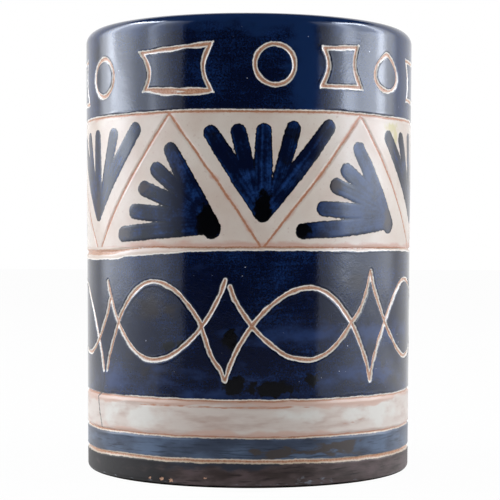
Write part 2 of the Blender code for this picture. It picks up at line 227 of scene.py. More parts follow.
# Yellow stains of the slip.
STAINS = ((57, 128.7, 4.6, 1.7), (59.5, 125.6, 1.8, 3.4), (-140, 129, 3, 1.4))

# Wave band: where the limbs set off: upper left, upper right, lower left, lower right. Each is an angle, a
# height, and how far the limb sags just after it sets off.
CUSPS = (
    ((-54.6, 65.6, 0), (-55.7, 72.4, 0), (-59, 39.9, 0), (-56.6, 39.9, 1.2)),
    ((-7.5, 73, 0), (-5.8, 70.6, 0), (-8, 38.2, 4.5), (-7.5, 38, 0)),
    ((45.2, 76.2, 1.5), (45.2, 76.2, 0), (45.3, 36.6, 0), (45.3, 36.6, 0)),
    *(((angle, 73.8, 1), (angle, 73.8, 0), (angle, 37.3, 1), (angle, 37.3, 0))
      for angle in (96.8, 148.3, 199.9, 251.4)),
)
# The bows to the right of each cusp: angle and height of the upper and of the lower one.
BOWS = (
    (-32.3, 72.2, -33.2, 44.2),
    (20.4, 70.3, 19.2, 45),
    (70.3, 72.8, 71.5, 44),
    *((angle, 72, angle, 44.5) for angle in (122.5, 174.1, 225.7)),
    (277.2, 72, 286.5, 45.4),
)
WAVE_POWER = 0.74
LIMB_POINTS = 19
SAG_SHARE = 0.33  # of a limb, over which it may sag
# How far under the fan line the coat starts, and how much more than that over which sectors.
DROOP, LEFT_DROOPS = 1.2, ((2.2, -115, -80, -48, -8), (0.9, -115, -80, -49, -45))
SMEAR, SMEAR_ANGLES = 0.7, (-115, -80, -56, -44)  # by which the bed of that line is wider
# The lower end of the coat is cloudy too: the level of that field there, and its rise between two heights.
CLOUDY, CLEARING, CLEARING_HEIGHTS = 1.2, 2.4, (36, 47)
RUN_HEIGHT, RUN_EDGE = 0.03, (-1.2, 1)  # of the dark runs
# Dark runs of thick glaze, paler clouds in the same coat, and patches that burnt brown.
RUNS = (
    (-5.6, 52, 2.5, 3.8), (-4.6, 36, 3.5, 3.1), (-27.1, 49.4, 2.2, 1.9), (-22.3, 50.6, 1.3, 1.2),
    (20.9, 38, 2.7, 2), (7.7, 35, 8.6, 2.4), (-2.3, 38, 1.6, 1.6), (165, 36, 6, 2.2),
    (-120, 38, 5, 2.4),
)
CLOUDS = (
    (20, 54, 15, 2.6), (54, 53.5, 18, 3), (-52, 37.5, 8, 3.5),
    (45, 40, 12, 4), (140, 52, 20, 3), (-130, 44, 18, 4),
)
BROWNED = (
    (-27.4, 62, 3.6, 4.2), (-34, 63, 8, 6), (-35.6, 40.6, 4.4, 2), (-43, 45, 5, 2.4),
    (27.6, 57.6, 2, 2), (41, 37.2, 3.6, 2.1), (52.6, 42, 2.2, 3), (59.6, 35.5, 5, 2.6),
    (38, 73, 7, 5), (120, 40, 5, 2.6), (-140, 60, 6, 3),
)

# Foot bands: thick slip on the white band, rust on the stripe.
THICK_SLIP = (
    (-42, 25.3, 14, 3.6), (17, 25, 7, 2.6), (48, 25.2, 15, 4),
    (110, 25, 14, 4), (168, 24.5, 10, 3.6), (-120, 25, 12, 3.6),
)
RUST = ((32, 13.4, 7, 2), (12, 12.3, 6, 0.9), (120, 14, 8, 2), (-140, 13, 9, 1.8))
# Hairline crack down the slab seam, as (angle, height).
CRACK = (
    (-58.6, 38.6), (-58.4, 36.1), (-59.6, 32.4), (-63.6, 30), (-62.4, 24), (-60, 17.4), (-57.2, 13.2),
)
# Small chips of the foot: angle, height, half size. They are CHIP_FLAT times as high as wide.
CHIPS = ((-34.2, 2.3, 0.4), (-29.7, 2.5, 0.8), (-26.5, 2.1, 0.8), (-13.9, 3.5, 0.4), (150, 2.2, 0.9))
CHIP_FLAT = 0.7


# User settings.

LENGTH = {"unit": "LENGTH", "subtype": "DISTANCE"}
COLOUR = {"size": 4, "min": 0.0, "max": 1.0, "subtype": "COLOR"}


class VaseSizes(bpy.types.PropertyGroup):
    """Sizes of the hand work on the vase."""

    line_width: FloatProperty(
        name="Line width", description="Width of a scratched line between the edges of the blue coat",
        default=1.75 * MM, min=0.5 * MM, max=4 * MM, **LENGTH,
    )
    line_depth: FloatProperty(
        name="Line depth", description="How far a scratched line is cut under the face of the coat",
        default=0.5 * MM, min=0.0, max=0.8 * MM, **LENGTH,
    )
    stroke_height: FloatProperty(
        name="Stroke height", description="How far the brushed fans stand up from the slip",
        default=0.06 * MM, min=0.0, max=0.2 * MM, **LENGTH,
    )
    columns: IntProperty(
        name="Columns", description="Points of a coat's grid round the vase", default=828, min=90, max=840,
    )


class VaseColours(bpy.types.PropertyGroup):
    """Colours of the vase's finishes."""

    cobalt: FloatVectorProperty(
        name="Cobalt", description="Deep blue of a thick coat of cobalt glaze",
        default=linear("#040D28"), **COLOUR,
    )
    thin_cobalt: FloatVectorProperty(
        name="Thin cobalt", description="Blue of the same glaze where the coat is thin",
        default=linear("#1B3C75"), **COLOUR,
    )
    slip: FloatVectorProperty(
        name="Slip", description="White slip under a clear glaze", default=linear("#DACFC4"), **COLOUR,
    )
    clay: FloatVectorProperty(
        name="Clay", description="Bare fired clay in the bed of a scratched line",
        default=linear("#C79A7C"), **COLOUR,
    )
    iron: FloatVectorProperty(
        name="Iron brown", description="Dry dark glaze of the foot", default=linear("#57494A"), **COLOUR,
    )


class VaseStage(bpy.types.PropertyGroup):
    """Camera and studio."""

    distance: FloatProperty(
        name="Camera distance", description="From the lens to the axis of the vase",
        default=0.6, min=0.3, **LENGTH,
    )
    lens: FloatProperty(
        name="Lens", description="Focal length in millimetres on a 36 mm sensor",
        default=110.91, min=20.0, unit="CAMERA",
    )
    softbox: FloatProperty(
        name="Softbox level", description="Brightness of the side softboxes, where 1 is a white surface",
        default=3.4, min=0.0,
    )
    ambient: FloatProperty(
        name="Room light", description="Light that the white room gives back",
        default=0.27, min=0.0, max=1.0,
    )


class VaseLooks(bpy.types.PropertyGroup):
    """All settings of the vase."""

    sizes: PointerProperty(type=VaseSizes)
    colours: PointerProperty(type=VaseColours)
    stage: PointerProperty(type=VaseStage)


# Fields on the unrolled wall, for arrays of millimetres round the wall and up its face.

def smooth(value, low, high):
    """0 below low, 1 above high, and 3t squared less 2t cubed between them."""
    share = np.clip((value - low) / (high - low), 0, 1)
    return share * share * (3 - 2 * share)


def shortest(across):
    """The same place round the wall, by the shorter way."""
    return (across + AROUND / 2) % AROUND - AROUND / 2


def sector(across, start, full, fading, end):
    """1 between the inner two of four angles, which go from left to right, and 0 beyond the outer two."""
    angle = shortest(across) / ARC
    return smooth(angle, start, full) * smooth(-angle, -end, -fading)


def wander(across, along, wavelength, seed):
    """An uneven field of about unit size: sine waves in seeded directions that close round the wall."""
    draw = np.random.default_rng(seed)
    total = np.zeros_like(across)
    for _ in range(WANDER_WAVES):
        turn, phase = draw.uniform(0, math.tau, 2)
        length = wavelength * draw.uniform(*WANDER_LENGTHS)
        waves_round = round(AROUND * math.cos(turn) / length)
        waves = waves_round * across / AROUND + math.sin(turn) * along / length
        total += np.sin(math.tau * waves + phase)
    return total / math.sqrt(WANDER_WAVES / 2)


def unrolled(points):
    """(angle, height) points as millimetres on the unrolled wall."""
    return np.array(points, float) * (ARC, 1.0)


def path_distance(across, along, path, reach=6.0):
    """Distance to a drawn line: the least of the distances to its straight pieces, and FAR beyond reach."""
    middle = path[:, 0].mean()
    points = path - (middle, 0)
    aside = shortest(across - middle)
    low, high = points.min(axis=0) - reach, points.max(axis=0) + reach
    near = (aside > low[0]) & (aside < high[0]) & (along > low[1]) & (along < high[1])
    place = np.stack([aside[near], along[near]], axis=-1)
    step = np.diff(points, axis=0)
    from_start = place[:, None] - points[None, :-1]
    share = np.clip((from_start * step).sum(axis=-1) / (step**2).sum(axis=-1), 0, 1)
    gap = np.linalg.norm(from_start - share[..., None] * step, axis=-1)
    distance = np.full(across.shape, FAR)
    distance[near] = gap.min(axis=1)
    return distance


def nearest_path(across, along, paths):
    """The least distance to any of several drawn lines."""
    return np.minimum.reduce([path_distance(across, along, path) for path in paths])


def spots(across, along, places):
    """The least signed distance to ellipses given by angle, height, half width and half height."""
    found = np.full(across.shape, FAR)
    for angle, height, wide, tall in places:
        share = np.hypot(shortest(across - angle * ARC) / wide, (along - height) / tall)
        found = np.minimum(found, (share - 1) * min(wide, tall))
    return found


def drawn_by_hand(across, along):
    """The grid moved a little by two uneven fields, so that lines on it waver. Low on the left they sag."""
    x, y = across, along
    for wavelength, seed, aside, up in WAVERS:
        field = wander(across, along, wavelength, seed)
        x, y = x + aside * field, y + up * field
    return x, y + LEFT_SAG * sector(across, *SAG_ANGLES) * smooth(-along, -SAG_TOP, -SAG_FULL)


def groove(distance, half, depth):
    """Relief of a scratched line: a flat bed with rounded sides and a slight burr along its edges."""
    burr = BURR * np.exp(-(((distance - BURR_PLACE * half) / BURR_WIDTH) ** 2))
    return burr - depth * (1 - smooth(distance, BED_END * half, SIDE_END * half))


# Outlines of what is drawn.

def circle_path(angle, height, wide, tall, point):
    """A ring: cosine across and sine up, with the top lifted to a point by a high power of the sine."""
    turn = np.linspace(0, math.tau, CIRCLE_POINTS)
    lift = point * np.clip(np.sin(turn), 0, 1) ** POINT_POWER
    across = angle * ARC + wide * np.cos(turn) * (1 - NARROWING * (point > POINTED) * np.sin(turn))
    return np.stack([across, height + tall * np.sin(turn) + lift], axis=1)


def stroke(start, end, bow=0.0):
    """A line from one point to another, bowed sideways by half a sine wave."""
    share = np.linspace(0, 1, STROKE_POINTS)[:, None]
    return start + (end - start) * share + bow * np.sin(math.pi * share) * (1, 0)


def panel_paths(*panel):
    """Four strokes from corner to corner, of which the upright ones bow in."""
    *corners, bow = panel
    top_left, top_right, low_right, low_left = unrolled(corners)
    upright = [stroke(low_left, top_left, bow), stroke(low_right, top_right, -bow)]
    return upright + [stroke(top_left, top_right), stroke(low_left, low_right)]


def spur_paths(*panel):
    """Short strokes from a panel's corners, straight away from its middle."""
    corners = unrolled(panel[:4])
    outward = corners - corners.mean(axis=0)
    ends = corners + SPUR * outward / np.linalg.norm(outward, axis=1)[:, None]
    return list(np.stack([corners, ends], axis=1))


def limb_path(angle, height, sag, bow):
    """From a cusp to the middle of a bow: even steps round, and a power of a quarter sine wave up or down.

    Just after the cusp it may sag, by half a sine wave.
    """
    share = np.linspace(0, 1, LIMB_POINTS)
    start, end = unrolled([(angle, height), bow])
    rise = (end[1] - start[1]) * np.sin(math.pi / 2 * share) ** WAVE_POWER
    hang = sag * np.sin(math.pi * np.clip(share / SAG_SHARE, 0, 1))
    return np.stack([start[0] + (end[0] - start[0]) * share, start[1] + rise - hang], axis=1)


def wave_paths():
    """The limbs of the two interlaced lines, from each cusp to the bows on both its sides."""
    paths = []
    for place, (up_left, up_right, down_left, down_right) in enumerate(CUSPS):
        left_turn = 0 if place else -360
        sides = ((up_right, down_right, BOWS[place], 0), (up_left, down_left, BOWS[place - 1], left_turn))
        for up, down, (top_angle, top, low_angle, low), turn in sides:
            paths.append(limb_path(*up, (low_angle + turn, low)))
            paths.append(limb_path(*down, (top_angle + turn, top)))
    return paths


def zigzag_paths():
    """Strokes from just over each valley up to just under the peaks on both its sides."""
    paths = []
    for place, (left, right, bow) in enumerate(VALLEYS):
        last_peak = PEAKS[place - 1] - (0 if place else 360)
        for angle, peak, bend in ((right, PEAKS[place], 0), (left, last_peak, bow)):
            ends = unrolled([(angle, FAN_LINE + ZIGZAG_RISE), (peak, RIM_LINE - ZIGZAG_DROP)])
            paths.append(stroke(*ends, bend))
    return paths


def brush_field(across, along):
    """Brush strokes: signed distance to their edge, place across the stroke from -1 to 1, and its tone.

    A stroke is a cone with round ends: the distance to the line from root to tip, less a half width that
    goes evenly from the root's to the tip's. Each point takes the stroke it lies deepest in.
    """
    draw = np.random.default_rng(seed=5)
    edge, aside, tone = np.full(across.shape, FAR), np.zeros(across.shape), np.zeros(across.shape)
    fans = [(fan, UPRIGHT_TAILS) for fan in UPRIGHT_FANS] + [(fan, SIDEWAYS_TAILS) for fan in SIDEWAYS_FANS]
    for (foot, *tips), tails in fans:
        root = unrolled(foot) + (0, tails[0][2])
        tips = unrolled(tips)
        for tip, (part, other, tail_half) in zip(tips, tails):
            tail = root + part * (tips[other] - root)
            ahead = (tip - tail) / np.linalg.norm(tip - tail)
            length = np.linalg.norm(tip - tail) - STROKE_TIP
            east, north = shortest(across - tail[0]), along - tail[1]
            forth, side = east * ahead[0] + north * ahead[1], north * ahead[0] - east * ahead[1]
            share = np.clip(forth / length, 0, 1)
            half = tail_half + (STROKE_TIP - tail_half) * share + STROKE_BELLY * np.sin(math.pi * share)
            found = np.hypot(forth - share * length, side) - half
            here = found < edge
            edge, aside = np.where(here, found, edge), np.where(here, side / half, aside)
            tone = np.where(here, draw.uniform(0, TONES), tone)
    return edge, aside, tone


# Meshes.

def outer_face(along):
    """Radius, height and outward direction at a distance up the outside face.

    A straight wall with quarter circles at the foot, over the lip and down inside it, each adding its own
    cosine to the radius and sine to the height, and then the lean of the wall.
    """
    foot = np.minimum(along - FOOT_ROUND, 0) / FOOT_ROUND
    lip = np.clip(along - LIP_START, 0, LIP_CREST - LIP_START) / LIP_OUTER
    inner = np.clip(along - LIP_CREST, 0, None) / LIP_INNER
    radius = RADIUS - FOOT_ROUND * (1 - np.cos(foot)) - LIP_OUTER * (1 - np.cos(lip))
    radius -= LIP_INNER * np.sin(inner)
    height = np.clip(along, FOOT_ROUND, LIP_START) + FOOT_ROUND * np.sin(foot) + LIP_OUTER * np.sin(lip)
    height -= LIP_INNER * (1 - np.cos(inner))
    turn = foot + lip + inner
    return radius + TAPER * (height - HEIGHT / 2), height, np.cos(turn), np.sin(turn)


def ring_mesh(name, radius, height, angle, strips):
    """A grid closed both ways as a mesh: rows are the ring's section, columns go round the vase.

    The UV map lays the grid out flat, cut into strips that are stacked, for use by a bake.
    """
    rows, columns = radius.shape
    points = np.stack([radius * np.sin(angle), -radius * np.cos(angle), height], axis=-1) * MM
    row, column = np.indices(radius.shape)[..., None] + FACE_CORNERS
    faces = row % rows * columns + column % columns
    strip = column[..., :1] * strips // columns
    turn = column * strips / columns - strip
    upward = strip + BAKE_MARGIN + row / rows * (1 - 2 * BAKE_MARGIN)
    flat = np.stack([turn, upward / strips], axis=-1)

    mesh = bpy.data.meshes.new(name)
    mesh.vertices.add(radius.size)
    mesh.vertices.foreach_set("co", points.ravel())
    mesh.loops.add(faces.size)
    mesh.loops.foreach_set("vertex_index", faces.ravel())
    mesh.polygons.add(radius.size)
    mesh.polygons.foreach_set("loop_start", np.arange(0, faces.size, 4))
    mesh.update(calc_edges=True)
    mesh.uv_layers.new(name="OFBake").data.foreach_set("uv", flat.ravel())
    mesh.shade_smooth()
    mesh.set_sharp_from_angle(angle=math.radians(SHARP))
    return mesh


def placed(name, mesh, material, nodes):
    """A finished piece: linked, given its finish, riding on the vase and standing for nodes of the frame."""
    mesh.materials.append(material)
    piece = bpy.data.objects.new(name, mesh)
    bpy.context.scene.collection.objects.link(piece)
    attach(piece, "root")
    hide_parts(*nodes)


def coat_piece(name, span, drawn, finish, nodes):
    """One coat as a closed ring between two distances up the outside face.

    The front of the ring is the outside face, moved out by the relief that drawn gives for every point of
    the grid. Its back is the same face, sunk to BACK_DEPTH. The fields that drawn gives become attributes.
    """
    looks = bpy.context.scene.vase
    columns = looks.sizes.columns
    low, high = span
    front = np.linspace(low + EDGE_GAP, high - EDGE_GAP, round((high - low) / (AROUND / columns)) + 1)
    *_, out, up = outer_face(front)
    bend = np.degrees(np.ptp(np.arctan2(up, out)))
    back = np.linspace(front[-1], front[0], BACK_ROWS + round(bend / BACK_BEND))
    angle = (np.arange(columns) + 0.5) / columns * math.tau - math.pi
    relief, fields = drawn(*np.meshgrid(angle * RADIUS, front), looks.sizes)
    back_grid = np.ones((len(back), columns))
    relief = np.concatenate([relief - SKIN_SINK, -BACK_DEPTH * back_grid])
    radius, height, out, up = outer_face(np.concatenate([front, back])[:, None])
    mesh = ring_mesh(name, radius + relief * out, height + relief * up, angle, strips=4)
    for field, values in fields.items():
        everywhere = np.concatenate([values, FAR * back_grid])
        mesh.attributes.new(field, "FLOAT", "POINT").data.foreach_set("value", everywhere.ravel())
    placed(name, mesh, finish(looks.colours), nodes)


def turned_piece(name, profile, columns, material, nodes):
    """A closed section turned round the axis, with the points on the axis merged into one."""
    radius, height = (np.tile(values[:, None], columns) for values in profile.T)
    angle = np.arange(columns) / columns * math.tau
    mesh = ring_mesh(name, radius, height, angle, strips=1)
    merged = bmesh.new()
    merged.from_mesh(mesh)
    bmesh.ops.remove_doubles(merged, verts=merged.verts, dist=MERGED)
    bmesh.ops.recalc_face_normals(merged, faces=merged.faces)
    merged.to_mesh(mesh)
    merged.free()
    mesh.set_sharp_from_angle(angle=math.radians(TURNED_SHARP))
    placed(name, mesh, material, nodes)


# Materials.

MIX_FACTOR, MIX_A, MIX_B, MIX_RESULT = 0, 6, 7, 2  # colour sockets of a Mix node
FIELD_VALUE = 2  # output of an Attribute node for a field of single numbers
SHADER = "Principled BSDF"
BARE_ROUGHNESS = 0.24  # of clay and slip in a line, which have only a clear glaze on them


def fill(tree, node, inputs):
    """Links or sets inputs of a node, given by name or in their order. A text is an sRGB hex colour."""
    for name, value in inputs.items() if isinstance(inputs, dict) else enumerate(inputs):
        if isinstance(value, bpy.types.NodeSocket):
            tree.links.new(value, node.inputs[name])
        else:
            node.inputs[name].default_value = linear(value) if isinstance(value, str) else value


def add(tree, kind, inputs=(), out=0, **settings):
    """Adds a shader node with its settings and inputs, and returns one of its outputs."""
    made = tree.nodes.new("ShaderNode" + kind)
    for name, value in settings.items():
        setattr(made, name, value)
    fill(tree, made, inputs)
    return made.outputs[out]


def new_finish(name):
    """A new material and its node tree."""
    material = bpy.data.materials.new(name)
    material.use_nodes = True
    return material, material.node_tree


def finished(material, relief, depth, inputs):
    """A material with inputs for its shader and with fine relief, whose depth is in millimetres."""
    tree = material.node_tree
    bump = add(tree, "Bump", {"Height": relief, "Distance": depth * MM})
    fill(tree, tree.nodes[SHADER], {"Normal": bump, **inputs})
    return material


def grain(tree, size, detail=3.0, longer=1.0):
    """Noise from 0 to 1 in blobs of about size millimetres, some times longer round the vase than up it."""
    place = add(tree, "TexCoord", out="Object")
    scale = (1 / MM / longer, 1 / MM / longer, 1 / MM)
    where = add(tree, "VectorMath", (place, scale), operation="MULTIPLY")
    return add(tree, "TexNoise", {"Vector": where, "Scale": 1 / size, "Detail": detail})


def ragged(tree, field, amount, size, longer=1.0):
    """A field of the mesh, with its edges broken up by an amount of noise of a size."""
    value = add(tree, "Attribute", out=FIELD_VALUE, attribute_name=field)
    noise = add(tree, "Math", (grain(tree, size, longer=longer), 0.5), operation="SUBTRACT")
    return add(tree, "Math", (noise, 2 * amount, value), operation="MULTIPLY_ADD")


def laid_over(tree, colour, *layers):
    """A colour with others laid over it, each with what it follows, where that starts and where it is full.

    What a layer follows is a value, or the field, amount, size and length of a ragged one.
    """
    for over, follows, start, full in layers:
        value = ragged(tree, *follows) if isinstance(follows, tuple) else follows
        share = add(tree, "MapRange", (value, start, full), interpolation_type="SMOOTHSTEP")
        inputs = {MIX_FACTOR: share, MIX_A: colour, MIX_B: over}
        colour = add(tree, "Mix", inputs, out=MIX_RESULT, data_type="RGBA")
    return colour


def scratched(tree, coat, coat_roughness, colours, slip_edge_and_highlight="#EFE9DF"):
    """Colour and roughness of a coat, cut through to slip and to clay where its fields are under 0."""
    edge = ragged(tree, "coat", 0.32, 1.5)
    clay = laid_over(tree, "#A97659", (colours.clay, grain(tree, 0.6, detail=2), 0.25, 0.7))
    # The slip is paler along the coat's edge: partly the slip's own colour, partly painted highlight where
    # the groove's shoulder catches the light.
    slip = laid_over(tree, "#D3C0B1", (slip_edge_and_highlight, edge, -0.6, -0.2))
    colour = laid_over(tree, clay, (slip, ("bed", 0.3, 1.2), -0.16, 0.16), (coat, edge, -0.15, 0.15))
    roughness = add(tree, "MapRange", (edge, -0.1, 0.1, BARE_ROUGHNESS, coat_roughness))
    return {"Base Color": colour, "Roughness": roughness}


def cobalt_glaze(colours):
    """Cobalt glaze, brushed on over slip and fired glossy.

    It gives the eye a deep blue that is nearly black where thick, with faint level brush marks, fine paler
    specks, brown-black blotches and dark runs, under a hard clear shine.
    """
    material, tree = new_finish("cobalt_glaze_brushed_over_slip")
    speck = grain(tree, 0.6, detail=2)
    uneven = grain(tree, 22, detail=4)
    for part, weight in ((grain(tree, 1.1, longer=20), 0.35), (speck, 0.8)):
        uneven = add(tree, "Math", (part, weight, uneven), operation="MULTIPLY_ADD")
    blue = laid_over(
        tree, colours.cobalt,
        (colours.thin_cobalt, uneven, 1.02, 1.7),
        ("#112850", ("thin", 7, 5, 1.5), 2.5, -3),
        ("#213560", ("mottle", 6, 4, 2), 2.6, -3.2),
        ("#211A1B", ("brown", 6, 3, 1.6), 1.4, -4.4),
        ("#050507", ("run", 2.4, 2.4), 0.7, -0.5),
        ("#16100E", ("crack", 0.3, 1), 0.5, 0.2),
        ("#B4B8C4", grain(tree, 1, detail=0), 0.88, 0.9),
    )
    ripple = add(tree, "Math", (grain(tree, 9), 4, speck), operation="MULTIPLY_ADD")
    inputs = {"IOR": 1.5, "Specular Tint": "#E8F0FF", **scratched(tree, blue, 0.1, colours)}
    return finished(material, ripple, 0.02, inputs)


def slip_with_brushwork(colours):
    """White slip under clear glaze, with cobalt brushed on it and lines scratched to the clay.

    It gives the eye a warm broken white with pink clay showing through, soft-edged buff lines, and blue
    strokes that are streaked along their length, black where the glaze pooled and brown where it burnt.
    """
    material, tree = new_finish("white_slip_with_cobalt_brushwork")
    fleck = grain(tree, 0.9, detail=2)
    white = laid_over(
        tree, colours.slip,
        ("#CFBDB0", grain(tree, 16, detail=4), 0.3, 0.75),
        ("#C8B2A6", fleck, 0.62, 0.8),
        ("#CBA99A", ("thin", 2.2, 4, 2), 0.5, -1),
        ("#CCC198", ("stain", 2, 2.5), 0.8, -0.8),
        ("#B67F62", ("bed", 0.35, 1), 0.16, -0.16),
    )
    aside = add(tree, "Attribute", out=FIELD_VALUE, attribute_name="aside")
    tone = add(tree, "Attribute", out=FIELD_VALUE, attribute_name="tone")
    place = add(tree, "CombineXYZ", (aside, tone))
    streak = add(tree, "TexNoise", {"Vector": place, "Scale": 1.6, "Detail": 3})
    wash = add(tree, "Math", (grain(tree, 6, detail=4), streak), operation="ADD")
    wash = add(tree, "Math", (fleck, 0.4, wash), operation="MULTIPLY_ADD")
    ink = laid_over(
        tree, colours.cobalt,
        (colours.thin_cobalt, wash, 1.1, 1.6),
        ("#2E5090", wash, 1.4, 1.9),
        ("#0C101C", grain(tree, 9), 0.56, 0.72),
    )
    edge = ragged(tree, "stroke", 0.45, 1.3)
    ink = laid_over(
        tree, ink,
        (laid_over(tree, ink, ("#263A62", wash, 0.85, 1.45)), ("pale", 8, 7), 1, -6),
        ("#3B3231", ("burnt", 2.5, 2), 1.2, -1.6),
        ("#060A18", edge, -0.7, -0.1),
        ("#020306", ("pool", 3, 2.4), 0.8, -0.6),
    )
    colour = laid_over(tree, ink, (white, edge, -0.12, 0.12))
    roughness = add(tree, "MapRange", (edge, -0.12, 0.12, 0.15, 0.2))
    inputs = {"Base Color": colour, "Roughness": roughness, "IOR": 1.38, "Specular Tint": "#E6F0FF"}
    return finished(material, grain(tree, 2.2), 0.02, inputs)


def worn_slip(colours):
    """The narrow white band: slip wiped thin along its edges.

    It gives the eye a cloudy grey-white with level smears, pink clay showing through where it is thin, and a
    dark crack.
    """
    material, tree = new_finish("worn_white_slip")
    smear = grain(tree, 2.6, detail=5, longer=5)
    white = laid_over(
        tree, "#D2C6BD",
        ("#BFA99E", smear, 0.4, 0.7),
        ("#DAD6CF", ("thick", 6, 6, 1.6), 1.4, -2.2),
        ("#CBAC9D", ("thin", 4, 8, 2), 0.6, -0.6),
        ("#B58A76", smear, 0.66, 0.78),
        ("#BA856A", ("bed", 0.45, 1.2, 3), 0.16, -0.16),
        ("#4A403C", ("crack", 0.5, 1), 0.45, 0.25),
    )
    return finished(material, grain(tree, 2), 0.03, {"Base Color": white, "Roughness": 0.3, "IOR": 1.5})


def washed_cobalt(colours):
    """The blue stripe: a thin wash of cobalt, half dry.

    It gives the eye a streaky grey-blue with rust-brown patches, and a dull shine.
    """
    material, tree = new_finish("thin_cobalt_wash")
    blue = laid_over(
        tree, "#3A4355",
        ("#586982", grain(tree, 6, detail=5, longer=2.5), 0.35, 0.7),
        ("#262E3E", grain(tree, 0.7, longer=12), 0.5, 0.78),
        ("#46403F", ("rust", 6, 3, 2.5), 0.8, -0.6),
    )
    # The last colour is the slip's paler edge in the lines, partly painted highlight.
    inputs = {"IOR": 1.36, **scratched(tree, blue, 0.3, colours, "#D6C8B8")}
    return finished(material, grain(tree, 1.2), 0.03, inputs)


def dry_iron_glaze(colours):
    """The foot: an iron-dark glaze, thin and dry, rubbed where it stands.

    It gives the eye a brown-black with fine level scratches, grey scuffs and small chips to the clay, and a
    painted shadow along its lowest edge.
    """
    material, tree = new_finish("dry_iron_dark_glaze")
    brown = laid_over(
        tree, "#372D2B",
        (colours.iron, grain(tree, 3, detail=5, longer=3), 0.3, 0.7),
        ("#211A19", grain(tree, 0.8, longer=10), 0.52, 0.76),
        ("#2F333E", ("blue", 3, 3, 2), 3.2, 0.8),
        ("#1B191C", ("dark", 2, 4, 2), 0.8, -1.2),
        ("#6E727A", ("rub", 4, 1.2, 2.4), -0.4, -2),
        # Near black along the lowest rounding of the foot: painted shadow where it meets the floor.
        ("#080606", ("under", 0.3, 3), 0.35, -0.35),
        ("#C99C80", ("chip", 0.8, 0.8), 0.15, -0.15),
    )
    # Less shine along the same edge keeps that painted shadow dark.
    shine = add(tree, "MapRange", (ragged(tree, "under", 0.2, 3), -0.3, 0.5, 0, 0.5))
    # The last colour is the slip's paler edge in the lines, partly painted highlight.
    inputs = {"IOR": 1.32, "Specular IOR Level": shine, **scratched(tree, brown, 0.45, colours, "#C9B7A2")}
    return finished(material, grain(tree, 0.9, longer=2), 0.04, inputs)


def clear_glaze_on_clay():
    """The inside: clear glaze straight on the clay.

    It gives the eye a warm buff with darker specks of iron and a wet shine.
    """
    material, tree = new_finish("clear_glaze_on_buff_clay")
    buff = laid_over(
        tree, "#B8977F",
        ("#DCC6B2", grain(tree, 20, detail=4), 0.2, 0.8),
        ("#6E5244", grain(tree, 0.8, detail=1), 0.7, 0.76),
    )
    inputs = {"Base Color": buff, "Roughness": 0.16, "IOR": 1.5}
    return finished(material, grain(tree, 3, detail=2), 0.03, inputs)


def fired_clay(colours):
    """Bare buff earthenware: the underside and the wall behind the coats.

    It gives the eye a dry matt tan with sandy grog.
    """
    material, tree = new_finish("fired_buff_earthenware")
    grog = grain(tree, 0.7)
    layers = (colours.clay, grain(tree, 18), 0.2, 0.8), ("#D8B397", grog, 0.2, 0.8)
    tan = laid_over(tree, "#B98B70", *layers)
    return finished(material, grog, 0.08, {"Base Color": tan, "Roughness": 0.85})


# What is drawn on each coat: its relief and its fields, for arrays of points. Fields are millimetres, or
# like them: what they stand for is where they are under 0.

def fan_line(across):
    """Height of the line under the fans, which sags on the left."""
    return FAN_LINE - FAN_SAG * sector(across, *FAN_SAG_ANGLES)


def foot_line(across):
    """Height of the line over the foot, which drops on the right."""
    return FOOT_LINE - FOOT_DROP * sector(across, *FOOT_DROP_ANGLES)


def scratched_lines(across, along, paths, sizes, seed):
    """Lines of uneven width: distance to them, half their width, and their fields.

    A line has a clay bed, drawn a little high so that the slip under it is wider as painted light on the
    groove's lower wall, and slip beside it up to the edge of the coat.
    """
    x, y = drawn_by_hand(across, along)
    half = sizes.line_width / 2 / MM * (1 + UNEVEN * wander(across, along, UNEVEN_LENGTH, seed))
    distance = nearest_path(x, y, paths)
    # The shifted bed paints light on the lower wall of each groove.
    bed = nearest_path(x, y - PAINTED_LIGHT_SHIFT, paths)
    return distance, half, {"bed": bed - BED_SHARE * half, "coat": distance - half}


def rim_drawn(across, along, sizes):
    """Circles, and panels with spurs of slip at their corners, over the rim's lower line."""
    paths = [circle_path(*circle) for circle in CIRCLES] + [unrolled(SECOND_STROKE)]
    paths += [path for panel in PANELS for path in panel_paths(*panel)]
    distance, half, fields = scratched_lines(across, along, paths, sizes, seed=13)
    x, y = drawn_by_hand(across, along)
    spurs = nearest_path(x, y, [path for panel in PANELS for path in spur_paths(*panel)])
    border = y - RIM_LINE
    fields["bed"] = np.minimum(fields["bed"], border - RIM_BED)
    fields["coat"] = np.minimum.reduce([fields["coat"], spurs - SPUR_HALF, border - RIM_SLIP])
    fields["thin"] = np.minimum(spots(x, y, THIN_PLACES), THIN_START - along)
    fields.update(dict.fromkeys(("run", "crack", "mottle", "brown"), np.full(across.shape, FAR)))
    return groove(np.minimum(distance, border), half, sizes.line_depth / MM), fields


def fan_drawn(across, along, sizes):
    """Zigzag lines between the triangles, and the brush strokes, which stand up from the slip."""
    x, y = drawn_by_hand(across, along)
    bed, thin_by_line, thin_at_foot, foot_rise, sunk = 0.4, 0.6, 2, 0.12, 0.05
    low_line = y - fan_line(across)
    line = np.minimum(nearest_path(x, y, zigzag_paths()), RIM_LINE - y)
    thin = np.minimum(line - thin_by_line, low_line - thin_at_foot)
    line = np.minimum(line, low_line + foot_rise)
    edge, aside, tone = brush_field(x, y)
    strokes = sizes.stroke_height / MM * smooth(-edge, *STROKE_EDGE)
    relief = groove(line, ZIGZAG_HALF, ZIGZAG_SHALLOW * (sizes.line_depth / MM)) + strokes - sunk
    fields = {"bed": line - bed, "thin": thin, "stroke": edge, "aside": aside, "tone": tone}
    for name, places in (("pool", POOLS), ("burnt", BURNT), ("stain", STAINS), ("pale", PALE)):
        fields[name] = spots(x, y, places)
    return relief, fields


